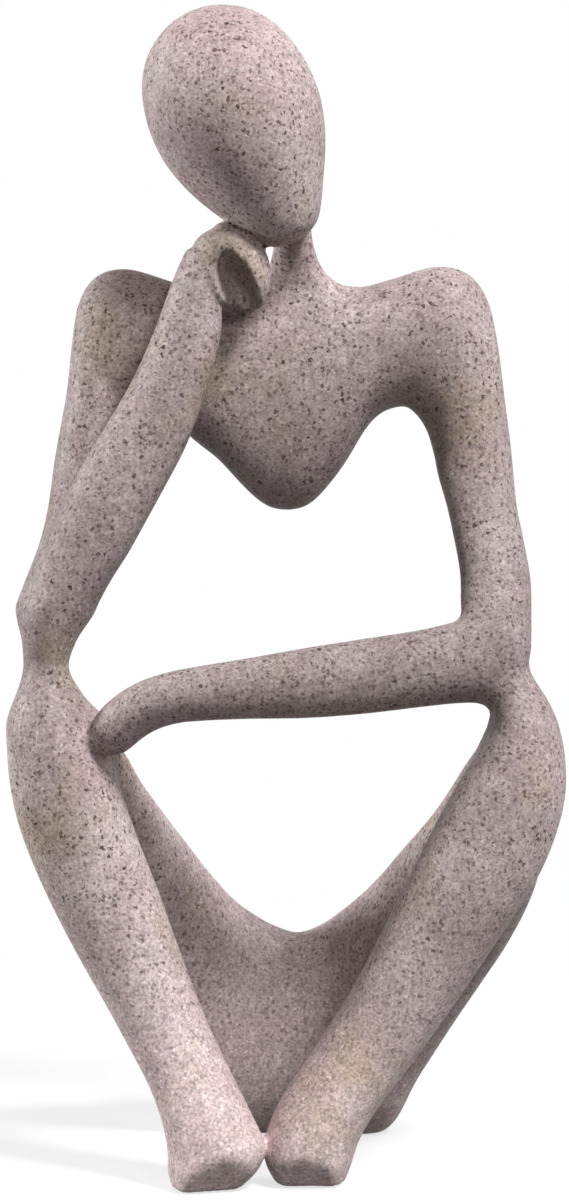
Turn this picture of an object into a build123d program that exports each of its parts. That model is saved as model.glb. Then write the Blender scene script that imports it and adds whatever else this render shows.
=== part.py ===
from build123d import *
from dataclasses import dataclass
from math import cos, radians, sin
import os

# An abstract seated figure in cast sandstone resin, thinking with its chin on one hand.
# It faces -Y, its own right side is at -X, and its feet and seat rest on z = 0. Its right arm
# and leg are called raised here, since that hand is raised to the chin, and its left ones resting.
# Every limb is one casting, lofted through ovals, and steel dowels pin the castings together.
# Sizes are in millimetres. Sides, forwards and setbacks are measured from the body's mid-plane
# below the neck, heights from the table, and the finished figure is centred on its footprint.

# Shoulders and chest
shoulder_reach = 27.0
shoulder_height = 186.2
shoulder_setback = 4.0
shoulder_seam_height = 29.3
shoulder_seam_depth = 22.0
chest_height = 52.0
chest_depth = 24.0
chest_sag = 12.2

# Neck, placed from the middle between the shoulders
neck_side = 3.9
neck_foot_lead = 1.0
neck_foot_rise = 7.8
neck_lead = 11.0
neck_rise = 21.8
neck_width = 8.4
neck_depth = 9.0

# Head, placed from the neck's top
head_inset = 10.6
head_lead = 6.0
head_rise = 17.9
head_length = 56.3
head_width = 38.9
head_tilt = 22.5

# Raised arm, whose wrist is placed from the head that its hand holds
raised_elbow_reach = 50.0
raised_elbow_height = 113.4
raised_elbow_forward = 21.0
raised_waist_width = 9.7
raised_waist_depth = 13.0
raised_arm_width = 16.0
raised_arm_depth = 16.0
raised_arm_bow = 10.4
raised_arm_end_inset = 1.5
raised_arm_end_setback = 4.0
raised_arm_end_rise = 13.7
raised_forearm_width = 16.0
raised_forearm_depth = 15.0
raised_forearm_bow = 3.3
wrist_outset = 8.7
wrist_lead = 0.5
wrist_drop = 28.8

# Curled hand below the chin, placed from the wrist, and the hollow in its palm
knuckle_inset = 4.2
knuckle_lead = 1.5
knuckle_rise = 6.1
curl_inset = 6.0
curl_drop = 18.6
hand_width = 16.6
hand_depth = 13.0
hand_bow = 0.5
palm_hollow_inset = 1.4
palm_hollow_lead = 5.0
palm_hollow_drop = 4.7
palm_hollow_foot_outset = 0.2
palm_hollow_foot_drop = 2.9
palm_hollow_width = 8.4
palm_hollow_depth = 17.0

# Resting arm, and the forearm that crosses from its elbow to the other knee
resting_elbow_reach = 53.8
resting_elbow_height = 108.8
resting_elbow_forward = 22.0
resting_waist_width = 11.6
resting_waist_depth = 14.0
resting_waist_turn = 39.0
resting_arm_width = 16.0
resting_arm_depth = 16.0
resting_arm_bow = 11.0
crossing_root_inset = 6.8
crossing_root_rise = 6.8
crossing_width = 15.0
crossing_depth = 13.0
crossing_arch = 7.3
fingertip_inset = 12.0
fingertip_lead = 5.0
fingertip_drop = 16.8

# Lower legs and feet
raised_knee_width = 25.5
resting_knee_width = 28.6
knee_depth = 24.0
raised_foot_side = 10.9
raised_foot_forward = 33.5
resting_foot_side = 9.9
resting_foot_forward = 26.0
raised_shin_bow = 7.6
resting_shin_bow = 15.0

# Thighs and pelvis
hip_reach = 16.6
hip_setback = 33.0
hip_height = 24.3
hip_seam_height = 55.4
hip_seam_depth = 33.0
hip_seam_turn = -75.0
pelvis_height = 50.0
pelvis_depth = 34.0
pelvis_sag = 2.1
raised_thigh_width = 25.0
resting_thigh_width = 27.5
thigh_depth = 25.0
raised_thigh_bow = 4.4
resting_thigh_bow = 7.6
raised_thigh_top_inset = 2.3
raised_thigh_top_setback = 7.0
raised_thigh_top_drop = 12.5
resting_thigh_top_outset = 2.3
resting_thigh_top_setback = 8.0
resting_thigh_top_drop = 7.9

# Dowels and the films of glue
dowel_diameter = 3.0
dowel_length = 12.0
dowel_clearance = 0.1
dowel_end_gap = 0.3
glue_film = 0.15
raised_elbow_pin_inset = 4.3
raised_elbow_pin_rise = 24.6
raised_elbow_pin_setback = 9.7
resting_elbow_pin_inset = 2.5
hand_rest_inset = 1.7
hand_rest_rise = 1.6
chin_pin_inset = 2.2
chin_pin_setback = 3.8
chin_pin_drop = 1.2
knee_pin_inset = 4.2
knee_pin_setback = 3.5
knee_pin_drop = 18.9
X_WAY = Vector(1, 0, 0)
Y_WAY = Vector(0, 1, 0)
Z_WAY = Vector(0, 0, 1)

# Rows of shares: along the limb, bow, forward, width, depth, and the oval's turn in degrees
chest_shares = [
    (0.13, 0.38, 0.0, 0.67, 0.96, 90),
    (0.24, 0.57, 0.0, 0.74, 0.98, 90),
    (0.35, 0.80, 0.0, 0.87, 1.0, 90),
    (0.445, 0.97, 0.0, 0.965, 1.0, 90),
    (0.54, 1.0, 0.0, 1.0, 1.0, 90),
    (0.63, 0.94, 0.0, 0.975, 1.0, 90),
    (0.70, 0.80, 0.0, 0.89, 1.0, 90),
    (0.78, 0.59, 0.0, 0.77, 0.98, 90),
    (0.87, 0.26, 0.0, 0.61, 0.96, 90),
    (0.935, 0.08, 0.0, 0.565, 0.93, 90),
]
neck_shares = [
    (0.0, 0.0, 0.0, 3.0, 1.45, 0),
    (0.25, 0.0, 0.09, 2.1, 1.38, 0),
    (0.38, 0.0, 0.22, 1.55, 1.25, 0),
    (0.52, 0.0, 0.42, 1.22, 1.1, 0),
    (0.70, 0.0, 0.65, 1.03, 1.0, 0),
    (1.0, 0.0, 1.0, 0.98, 1.0, 0),
]
resting_arm_shares = [
    (0.01, 0.56, 0.0, 2.06, 1.38, 77),
    (0.05, 0.88, 0.0, 2.14, 1.38, 70),
    (0.11, 1.0, 0.0, 2.01, 1.31, 64),
    (0.18, 0.97, 0.04, 1.72, 1.25, 57),
    (0.27, 0.89, 0.08, 1.34, 1.16, 43),
    (0.48, 0.64, 0.31, 1.0, 1.0, 0),
    (0.59, 0.56, 0.50, 0.98, 1.0, -3),
    (0.70, 0.43, 0.69, 0.97, 1.0, -4),
    (0.80, 0.20, 0.88, 0.97, 1.0, -4),
    (0.89, 0.06, 0.96, 0.86, 0.94, 8),
]
raised_arm_shares = [
    (0.02, 0.57, 0.0, 2.08, 1.38, 78),
    (0.07, 0.89, 0.0, 2.14, 1.38, 72),
    (0.14, 1.0, 0.0, 2.0, 1.31, 67),
    (0.23, 0.92, 0.05, 1.67, 1.25, 61),
    (0.34, 0.77, 0.10, 1.28, 1.16, 50),
    (0.62, 0.34, 0.38, 1.02, 1.0, 0),
    (0.75, 0.17, 0.62, 1.0, 1.0, 0),
    (0.88, 0.05, 0.86, 0.97, 0.94, 0),
    (1.0, 0.0, 1.0, 0.95, 0.92, 0),
]
raised_forearm_shares = [
    (0.05, 0.34, 0.0, 0.73, 1.0, 0),
    (0.11, 0.66, 0.08, 0.88, 1.13, -3),
    (0.19, 0.50, 0.15, 1.01, 1.13, -5),
    (0.28, 0.24, 0.31, 1.12, 1.07, -9),
    (0.39, 0.0, 0.46, 1.20, 1.0, -12),
    (0.48, -0.32, 0.62, 1.20, 0.93, -14),
    (0.57, -0.71, 0.77, 1.15, 0.90, -17),
    (0.67, -0.98, 0.85, 1.05, 0.87, -18),
    (0.77, -1.0, 0.92, 0.96, 0.87, -17),
    (0.86, -0.79, 1.0, 0.87, 0.83, -15),
    (0.94, -0.31, 1.0, 0.68, 0.80, -15),
    (1.0, 0.0, 1.0, 0.50, 0.73, -17),
]
crossing_shares = [
    (0.0, 0.0, 0.0, 1.30, 1.12, -77),
    (0.06, 0.08, 0.25, 1.18, 1.08, -80),
    (0.12, 0.13, 0.50, 1.14, 1.04, -86),
    (0.29, 0.31, 1.0, 1.10, 1.0, -88),
    (0.45, 0.53, 1.5, 1.02, 1.0, -89),
    (0.57, 0.72, 1.75, 0.90, 0.96, -88),
    (0.69, 0.90, 2.0, 0.81, 0.92, -85),
    (0.78, 0.98, 2.0, 0.76, 0.92, -76),
    (0.85, 0.87, 1.75, 0.75, 0.92, -69),
    (0.91, 0.58, 1.5, 0.75, 0.92, -62),
    (0.96, 0.20, 1.25, 0.70, 0.85, -55),
    (1.0, 0.0, 1.0, 0.45, 0.70, -51),
]
raised_shin_shares = [
    (0.053, 0.17, 0.0, 0.59, 0.79, 0),
    (0.093, 0.33, 0.03, 0.775, 0.92, 0),
    (0.144, 0.42, 0.08, 0.87, 1.0, 0),
    (0.212, 0.57, 0.08, 0.95, 1.0, 0),
    (0.297, 0.67, 0.04, 1.0, 1.0, 0),
    (0.37, 0.64, 0.04, 1.005, 0.96, 0),
    (0.44, 0.54, 0.12, 0.99, 0.92, 0),
    (0.515, 0.42, 0.22, 0.94, 0.87, 0),
    (0.59, 0.27, 0.32, 0.88, 0.83, 0),
    (0.66, 0.10, 0.44, 0.82, 0.79, 0),
    (0.74, -0.10, 0.58, 0.78, 0.79, 0),
    (0.81, -0.31, 0.72, 0.765, 0.83, 0),
    (0.885, -0.45, 0.88, 0.80, 0.92, 0),
    (0.94, -0.38, 0.96, 0.82, 0.96, 0),
    (0.98, -0.13, 1.0, 0.765, 0.92, 0),
    (1.0, 0.0, 1.0, 0.675, 0.84, 0),
]
resting_shin_shares = [
    (0.03, 0.27, 0.08, 0.46, 0.86, 18),
    (0.077, 0.43, 0.25, 0.615, 0.97, 5),
    (0.128, 0.51, 0.38, 0.755, 1.0, 0),
    (0.18, 0.545, 0.50, 0.875, 1.0, 0),
    (0.255, 0.56, 0.50, 0.96, 1.0, 0),
    (0.33, 0.54, 0.50, 0.99, 1.0, 0),
    (0.405, 0.48, 0.45, 0.97, 0.96, 0),
    (0.48, 0.40, 0.38, 0.925, 0.92, 0),
    (0.56, 0.31, 0.35, 0.885, 0.875, 0),
    (0.64, 0.20, 0.35, 0.855, 0.83, 0),
    (0.72, 0.07, 0.40, 0.84, 0.83, 0),
    (0.80, -0.08, 0.55, 0.825, 0.875, 0),
    (0.88, -0.20, 0.75, 0.775, 0.96, 0),
    (0.935, -0.19, 0.90, 0.70, 0.98, 0),
    (0.977, -0.08, 1.0, 0.62, 0.94, 0),
    (1.0, 0.0, 1.0, 0.535, 0.84, 0),
]
thigh_shares = [
    (0.0, 0.0, 0.0, 0.60, 0.60, 0),
    (0.10, 0.50, 0.04, 0.82, 0.80, -8),
    (0.245, 0.95, 0.17, 0.965, 0.93, -22),
    (0.38, 0.86, 0.33, 1.02, 1.0, -29),
    (0.535, 0.74, 0.52, 1.13, 1.08, -33),
    (0.68, 0.50, 0.68, 1.235, 1.16, -39),
    (0.82, 0.20, 0.83, 1.37, 1.24, -50),
]
pelvis_shares = [
    (0.5, 1.0, 0.0, 1.0, 1.0, -90),
]
# The egg's radius at each station down its long axis
head_radius_shares = [0.39, 0.70, 0.85, 0.935, 0.985, 1.0, 0.985, 0.935, 0.86, 0.755, 0.63, 0.48, 0.31]
head_station_shares = [0.02, 0.10, 0.18, 0.26, 0.34, 0.417, 0.50, 0.575, 0.655, 0.735, 0.81, 0.89, 0.97]
hand_shares = [
    (0.0, 0.0, 0.0, 0.25, 0.45, 0),
    (0.07, -0.1, 0.0, 0.62, 0.76, 0),
    (0.215, -1.0, 0.0, 0.945, 0.95, 0),
    (0.43, -0.8, 0.0, 1.0, 1.0, 0),
    (0.65, -1.0, 0.0, 0.88, 1.0, 0),
    (0.81, -1.0, 0.0, 0.66, 0.9, 0),
    (0.925, 0.15, 0.0, 0.44, 0.72, 0),
    (1.0, 0.0, 0.0, 0.22, 0.42, 0),
]
hollow_shares = [
    (0.0, 0.0, 0.0, 0.28, 0.4, 0),
    (0.12, 0.0, 0.0, 0.62, 0.78, 0),
    (0.26, 0.0, 0.0, 0.84, 0.95, 0),
    (0.44, 0.0, 0.0, 1.0, 1.0, 0),
    (0.65, 0.0, 0.0, 1.0, 1.0, 0),
    (1.0, 0.0, 0.0, 1.0, 1.0, 0),
]


@dataclass
class Limb:
    """A casting lofted through ovals from start to end, bowed sideways in the front view."""

    start: Vector
    end: Vector
    bow: float
    width: float
    depth: float
    rows: list

    def middle(self, row):
        """The middle of one row's oval."""
        along, bow, forward = row[:3]
        run = Vector(self.end.X - self.start.X, 0, self.end.Z - self.start.Z)
        side = Vector(-run.Z, 0, run.X).normalized()
        reach = Vector(0, self.end.Y - self.start.Y, 0)
        return self.start + run * along + side * (self.bow * bow) + reach * forward

    def oval(self, row, grow):
        """The oval of one row, made larger all round by grow."""
        width, depth, turn = row[3:]
        return seam_oval(self.middle(row), width * self.width, depth * self.depth, turn, grow)

    def solid(self, first=None, last=None, grow=0):
        """The lofted casting, between the seam ovals given as first and last where it has them."""
        ovals = [self.oval(row, grow) for row in self.rows]
        if first:
            ovals.insert(0, seam_oval(*first, grow))
        if last:
            ovals.append(seam_oval(*last, grow))
        return loft(ovals)


def seam_oval(middle, width, depth, turn, grow=0):
    """An oval that stands in depth along Y, with its width turned by an angle in the front view."""
    across = Vector(cos(radians(turn)), 0, sin(radians(turn)))
    plane = Plane(origin=middle, x_dir=across, z_dir=Y_WAY.cross(across))
    return plane * Ellipse(width / 2 + grow, depth / 2 + grow)


def dowel_bar(middle, direction, radius, length):
    """A round bar centred on a joint."""
    plane = Plane(origin=middle, z_dir=direction)
    return plane * Cylinder(radius, length)


def mirror_point(point):
    """The same place on the body's other side."""
    return Vector(-point.X, point.Y, point.Z)


def above_table(solid):
    """Cuts a casting flat where it stands on the table."""
    return split(solid, Plane.XY, Keep.TOP)


# Seams between castings, each as middle, width, depth and turn
raised_shoulder_middle = Vector(-shoulder_reach, shoulder_setback, shoulder_height)
resting_shoulder_middle = Vector(shoulder_reach, shoulder_setback, shoulder_height)
raised_shoulder_seam = (raised_shoulder_middle, shoulder_seam_height, shoulder_seam_depth, 90)
resting_shoulder_seam = (resting_shoulder_middle, shoulder_seam_height, shoulder_seam_depth, 90)
raised_elbow = Vector(-raised_elbow_reach, -raised_elbow_forward, raised_elbow_height)
raised_waist_seam = (raised_elbow, raised_waist_width, raised_waist_depth, 0)
resting_elbow = Vector(resting_elbow_reach, -resting_elbow_forward, resting_elbow_height)
resting_waist_seam = (resting_elbow, resting_waist_width, resting_waist_depth, resting_waist_turn)
raised_hip_middle = Vector(-hip_reach, hip_setback, hip_height)
resting_hip_middle = Vector(hip_reach, hip_setback, hip_height)
raised_hip_seam = (raised_hip_middle, hip_seam_height, hip_seam_depth, -180 - hip_seam_turn)
resting_hip_seam = (resting_hip_middle, hip_seam_height, hip_seam_depth, hip_seam_turn)
neck_foot = Vector(neck_side, shoulder_setback - neck_foot_lead, shoulder_height + neck_foot_rise)
neck_top = neck_foot + Vector(0, -neck_lead, neck_rise)
head_center = neck_top + Vector(-head_inset, -head_lead, head_rise)
wrist = head_center - Vector(wrist_outset, wrist_lead, wrist_drop)
raised_arm_end = raised_elbow + Vector(raised_arm_end_inset, raised_arm_end_setback, raised_arm_end_rise)
crossing_root = resting_elbow + Vector(-crossing_root_inset, 0, crossing_root_rise)
fingertip = raised_elbow + Vector(fingertip_inset, -fingertip_lead, -fingertip_drop)
raised_foot = Vector(-raised_foot_side, -raised_foot_forward, 0)
resting_foot = Vector(resting_foot_side, -resting_foot_forward, 0)
raised_thigh_top_way = Vector(raised_thigh_top_inset, raised_thigh_top_setback, -raised_thigh_top_drop)
resting_thigh_top_way = Vector(resting_thigh_top_outset, resting_thigh_top_setback, -resting_thigh_top_drop)
raised_thigh_top = raised_elbow + raised_thigh_top_way
resting_thigh_top = resting_elbow + resting_thigh_top_way

# Limbs
chest = Limb(
    raised_shoulder_middle, resting_shoulder_middle,
    -chest_sag, chest_height, chest_depth, chest_shares,
)
neck = Limb(neck_foot, neck_top, 0, neck_width, neck_depth, neck_shares)
mirrored_upper = Limb(
    resting_shoulder_middle, mirror_point(raised_arm_end),
    raised_arm_bow, raised_arm_width, raised_arm_depth, raised_arm_shares,
)
resting_upper = Limb(
    resting_shoulder_middle, resting_elbow,
    resting_arm_bow, resting_arm_width, resting_arm_depth, resting_arm_shares,
)
raised_fore = Limb(
    raised_elbow, wrist,
    raised_forearm_bow, raised_forearm_width, raised_forearm_depth, raised_forearm_shares,
)
crossing = Limb(
    crossing_root, fingertip,
    -crossing_arch, crossing_width, crossing_depth, crossing_shares,
)
raised_lower = Limb(
    raised_elbow, raised_foot,
    -raised_shin_bow, raised_knee_width, knee_depth, raised_shin_shares,
)
resting_lower = Limb(
    resting_elbow, resting_foot,
    resting_shin_bow, resting_knee_width, knee_depth, resting_shin_shares,
)
resting_upper_leg = Limb(
    resting_thigh_top, resting_hip_middle,
    resting_thigh_bow, resting_thigh_width, thigh_depth, thigh_shares,
)
mirrored_upper_leg = Limb(
    mirror_point(raised_thigh_top), resting_hip_middle,
    raised_thigh_bow, raised_thigh_width, thigh_depth, thigh_shares,
)
pelvis_block = Limb(
    raised_hip_middle, resting_hip_middle,
    -pelvis_sag, pelvis_height, pelvis_depth, pelvis_shares,
)
knuckles = wrist + Vector(knuckle_inset, -knuckle_lead, knuckle_rise)
curled_tip = knuckles + Vector(curl_inset, 0, -curl_drop)
hand = Limb(knuckles, curled_tip, hand_bow, hand_width, hand_depth, hand_shares)
hollow_top = knuckles + Vector(palm_hollow_inset, -palm_hollow_lead, -palm_hollow_drop)
hollow_foot = curled_tip - Vector(palm_hollow_foot_outset, palm_hollow_lead, palm_hollow_foot_drop)
palm_hollow = Limb(hollow_top, hollow_foot, 0, palm_hollow_width, palm_hollow_depth, hollow_shares)

# Joints that a dowel pins, each as its middle, its direction and the castings that it holds
neck_way = neck_top - neck_foot
raised_elbow_pin = raised_elbow + Vector(raised_elbow_pin_inset, raised_elbow_pin_setback, raised_elbow_pin_rise)
resting_elbow_pin = crossing_root - Vector(resting_elbow_pin_inset, 0, 0)
hand_rest_pin = fingertip + Vector(hand_rest_inset, 0, hand_rest_rise)
chin_pin = knuckles + Vector(chin_pin_inset, chin_pin_setback, -chin_pin_drop)
knee_pin_way = Vector(-knee_pin_inset, knee_pin_setback, -knee_pin_drop)
raised_knee_pin = mirror_point(mirror_point(raised_thigh_top) + knee_pin_way)
resting_knee_pin = resting_thigh_top + knee_pin_way
raised_elbow_way = raised_elbow - raised_elbow_pin
resting_waist_way = Vector(sin(radians(resting_waist_turn)), 0, -cos(radians(resting_waist_turn)))
hand_rest_way = raised_lower.middle(raised_shin_shares[3]) - hand_rest_pin
dowel_joints = {
    "neck": (neck_top, neck_way, ["torso", "head"]),
    "raised_shoulder": (raised_shoulder_middle, X_WAY, ["torso", "raised_upper_arm"]),
    "resting_shoulder": (resting_shoulder_middle, X_WAY, ["torso", "resting_upper_arm"]),
    "raised_elbow": (raised_elbow_pin, raised_elbow_way, ["raised_upper_arm", "raised_forearm"]),
    "resting_elbow": (resting_elbow_pin, X_WAY, ["resting_upper_arm", "crossing_forearm"]),
    "raised_elbow_rest": (raised_elbow, Z_WAY, ["raised_forearm", "raised_lower_leg"]),
    "resting_elbow_rest": (resting_elbow, resting_waist_way, ["resting_upper_arm", "resting_lower_leg"]),
    "hand_rest": (hand_rest_pin, hand_rest_way, ["crossing_forearm", "raised_lower_leg"]),
    "chin": (chin_pin, Z_WAY, ["raised_forearm", "head"]),
    "raised_hip": (raised_hip_middle, X_WAY, ["raised_thigh", "pelvis"]),
    "resting_hip": (resting_hip_middle, X_WAY, ["resting_thigh", "pelvis"]),
    "raised_knee": (raised_knee_pin, Y_WAY, ["raised_lower_leg", "raised_thigh"]),
    "resting_knee": (resting_knee_pin, Y_WAY, ["resting_lower_leg", "resting_thigh"]),
}


def egg(grow=0):
    """The head: an egg turned about its long axis, fat end up, tilted towards the raised arm."""
    radius = head_width / 2 + grow
    length = head_length + 2 * grow
    top = length / 2
    stations = zip(head_radius_shares, head_station_shares)
    points = [(radius * out, top - length * down) for out, down in stations]
    tangents = [(1, 0), (-1, 0)]
    outline = Spline([(0, top), *points, (0, -top)], tangents=tangents, tangent_scalars=[1, 1])
    profile = Plane.XZ * make_face(outline + Line((0, -top), (0, top)))
    halves = revolve(profile, Axis.Z, 180) + revolve(profile, Axis.Z, -180)
    return Location(head_center, (0, -head_tilt, 0)) * halves


def curled_hand():
    """The hand below the chin: a mitten curled forwards, scooped out where its palm is hollow."""
    return hand.solid() - palm_hollow.solid()


def castings():
    """Every resin casting by name, each cut back by a film of glue where it meets its neighbour."""
    head_film = egg(glue_film)
    forearm_film = raised_fore.solid(raised_waist_seam, grow=glue_film)
    arm_film = resting_upper.solid(resting_shoulder_seam, resting_waist_seam, glue_film)
    raised_leg_film = raised_lower.solid(raised_waist_seam, grow=glue_film)
    resting_leg_film = resting_lower.solid(resting_waist_seam, grow=glue_film)
    resting_leg_seat = above_table(resting_upper_leg.solid(last=resting_hip_seam))
    raised_leg_seat = mirror(above_table(mirrored_upper_leg.solid(last=resting_hip_seam)), Plane.YZ)
    return {
        "head": egg() - neck.solid(grow=glue_film),
        "torso": chest.solid(raised_shoulder_seam, resting_shoulder_seam) + neck.solid(),
        "raised_upper_arm": mirror(mirrored_upper.solid(resting_shoulder_seam), Plane.YZ) - forearm_film,
        "raised_forearm": raised_fore.solid(raised_waist_seam) + curled_hand() - head_film,
        "resting_upper_arm": resting_upper.solid(resting_shoulder_seam, resting_waist_seam),
        "crossing_forearm": crossing.solid() - arm_film - raised_leg_film,
        "raised_lower_leg": raised_lower.solid(raised_waist_seam),
        "resting_lower_leg": resting_lower.solid(resting_waist_seam),
        "raised_thigh": raised_leg_seat - raised_leg_film,
        "resting_thigh": resting_leg_seat - resting_leg_film,
        "pelvis": above_table(pelvis_block.solid(raised_hip_seam, resting_hip_seam)),
    }


def add_dowel(parts, name, middle, direction, holders):
    """Pins the castings named as holders with a dowel across their joint."""
    bore_radius = dowel_diameter / 2 + dowel_clearance
    bore = dowel_bar(middle, direction, bore_radius, dowel_length + 2 * dowel_end_gap)
    for holder in holders:
        parts[holder] = parts[holder] - bore
    parts[f"{name}_dowel"] = dowel_bar(middle, direction, dowel_diameter / 2, dowel_length)


def footprint_middle(parts):
    """The middle of the whole figure's box, at table height."""
    middle = Compound(list(parts.values())).bounding_box().center()
    return Vector(middle.X, middle.Y, 0)


def main():
    """Builds every casting and dowel, and writes one STEP file for each, round the footprint's middle."""
    parts = castings()
    for name, (middle, direction, holders) in dowel_joints.items():
        add_dowel(parts, name, middle, direction, holders)
    to_origin = Location(-footprint_middle(parts))
    os.makedirs("parts", exist_ok=True)
    for name, solid in parts.items():
        placed = to_origin * solid
        print(name, len(placed.solids()), round(placed.volume), placed.is_valid)
        export_step(placed, f"parts/{name}.step")


if __name__ == "__main__":
    main()
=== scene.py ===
import logging
import math
from dataclasses import dataclass, field
from enum import Enum

import bpy
import numpy as np
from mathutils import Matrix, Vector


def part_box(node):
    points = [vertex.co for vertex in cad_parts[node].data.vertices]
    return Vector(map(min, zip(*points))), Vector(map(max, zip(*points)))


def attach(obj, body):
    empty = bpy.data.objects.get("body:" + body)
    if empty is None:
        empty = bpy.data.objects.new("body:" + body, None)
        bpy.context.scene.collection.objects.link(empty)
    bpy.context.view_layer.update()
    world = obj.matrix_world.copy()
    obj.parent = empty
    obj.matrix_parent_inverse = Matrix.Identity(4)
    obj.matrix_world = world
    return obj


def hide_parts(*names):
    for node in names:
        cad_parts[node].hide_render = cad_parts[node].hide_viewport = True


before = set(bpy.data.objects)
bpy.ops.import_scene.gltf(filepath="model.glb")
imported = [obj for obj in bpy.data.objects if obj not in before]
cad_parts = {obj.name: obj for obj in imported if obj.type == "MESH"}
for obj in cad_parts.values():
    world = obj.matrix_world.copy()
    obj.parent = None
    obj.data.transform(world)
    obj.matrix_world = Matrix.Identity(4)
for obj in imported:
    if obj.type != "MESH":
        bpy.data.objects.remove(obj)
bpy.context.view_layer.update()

# Dresses the seated figure: one skin of speckled sandstone resin over all its castings.
#
# The skin is worked out as a distance field from the ovals of every limb, blended where the real
# casting is blended and creased where it is creased. It is then cut into one closed piece for each
# casting. Sizes here are in millimetres on the body's own mid-plane, and become metres in the frame.

MM = 0.001
END_ROUNDING = 4.0
LOG = logging.getLogger("seated_figure")

Point = tuple[float, float, float]
Colour = tuple[float, float, float, float]
Row = tuple[float, float, float, float, float, float]
Steps = tuple[tuple[float, ...], tuple[float, ...]]

WHITE: Colour = (1, 1, 1, 1)


class Casting(Enum):
    """The castings of the figure, named as the frame's nodes are."""

    HEAD = "head"
    TORSO = "torso"
    RAISED_UPPER_ARM = "raised_upper_arm"
    RAISED_FOREARM = "raised_forearm"
    RESTING_UPPER_ARM = "resting_upper_arm"
    CROSSING_FOREARM = "crossing_forearm"
    RAISED_LOWER_LEG = "raised_lower_leg"
    RESTING_LOWER_LEG = "resting_lower_leg"
    RAISED_THIGH = "raised_thigh"
    RESTING_THIGH = "resting_thigh"
    PELVIS = "pelvis"


CASTINGS = list(Casting)


@dataclass(frozen=True)
class Limb:
    """A tapering limb, told by ovals along a bowed line between two points.

    Attributes:
        casting: The casting that the limb belongs to.
        start: Where the line starts, in millimetres.
        end: Where the line ends, in millimetres.
        bow: How far the line bows sideways in the front view.
        width: The oval width that the rows share.
        depth: The oval depth that the rows share.
        rows: For each oval its shares along the line, of the bow, forwards, of the width and of the
            depth, and its turn in degrees.
    """

    casting: Casting
    start: Point
    end: Point
    bow: float
    width: float
    depth: float
    rows: tuple[Row, ...]

    def ovals(self, mirrored: bool = False) -> np.ndarray:
        """Works out the limb's ovals.

        Args:
            mirrored: Whether the limb is told on the other side of the body.

        Returns:
            One line for each oval: x, y, z, half width, half depth and turn.
        """
        start, end = np.array(self.start), np.array(self.end)
        run = np.array([end[0] - start[0], 0.0, end[2] - start[2]])
        side = np.array([-run[2], 0.0, run[0]]) / np.linalg.norm(run)
        lines = []
        for along, bow, forward, width, depth, turn in self.rows:
            middle = start + run * along + side * (self.bow * bow)
            middle[1] += (end[1] - start[1]) * forward
            lines.append([*middle, width * self.width / 2, depth * self.depth / 2, turn])
        ovals = np.array(lines)
        if mirrored:
            ovals[:, 0] *= -1
            ovals[:, 5] = 180 - ovals[:, 5]
        return ovals


def bell(sigma: float) -> np.ndarray:
    """A bell of weights that sum to one, sigma samples wide."""
    reach = int(3 * sigma) + 1
    weights = np.exp(-0.5 * (np.arange(-reach, reach + 1) / sigma) ** 2)
    return weights / weights.sum()


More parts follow.
